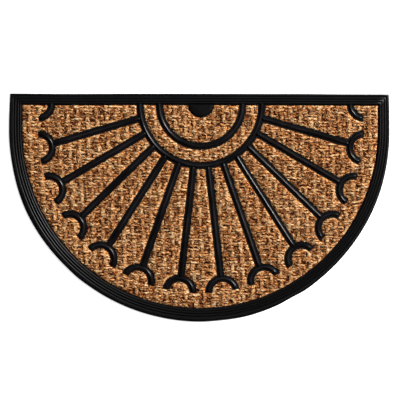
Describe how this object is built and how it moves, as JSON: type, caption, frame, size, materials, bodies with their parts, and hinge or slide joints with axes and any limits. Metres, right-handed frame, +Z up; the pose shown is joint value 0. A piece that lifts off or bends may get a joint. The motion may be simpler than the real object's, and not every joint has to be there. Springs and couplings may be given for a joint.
{
  "type": "half round doormat",
  "caption": "Half round doormat of moulded rubber with a ribbed border and a fan of ribs, filled with woven coir.",
  "frame": {"origin": "on the floor, at the middle of the mat's bounding box", "axes": "+X along the straight back edge, +Y from the round rim towards the straight back edge, +Z up"},
  "size_m": [0.762, 0.4572, 0.0105],
  "materials": {
    "rubber": "black press-moulded rubber, low gloss, glossier on the round beads",
    "coir": "natural golden brown coconut fibre yarn in a basket weave, hairy and matt"
  },
  "bodies": {
    "root": {"moulded_rubber": "rubber", "coir_centre": "coir", "coir_band": "coir", "coir_field": "coir"}
  },
  "joints": []
}
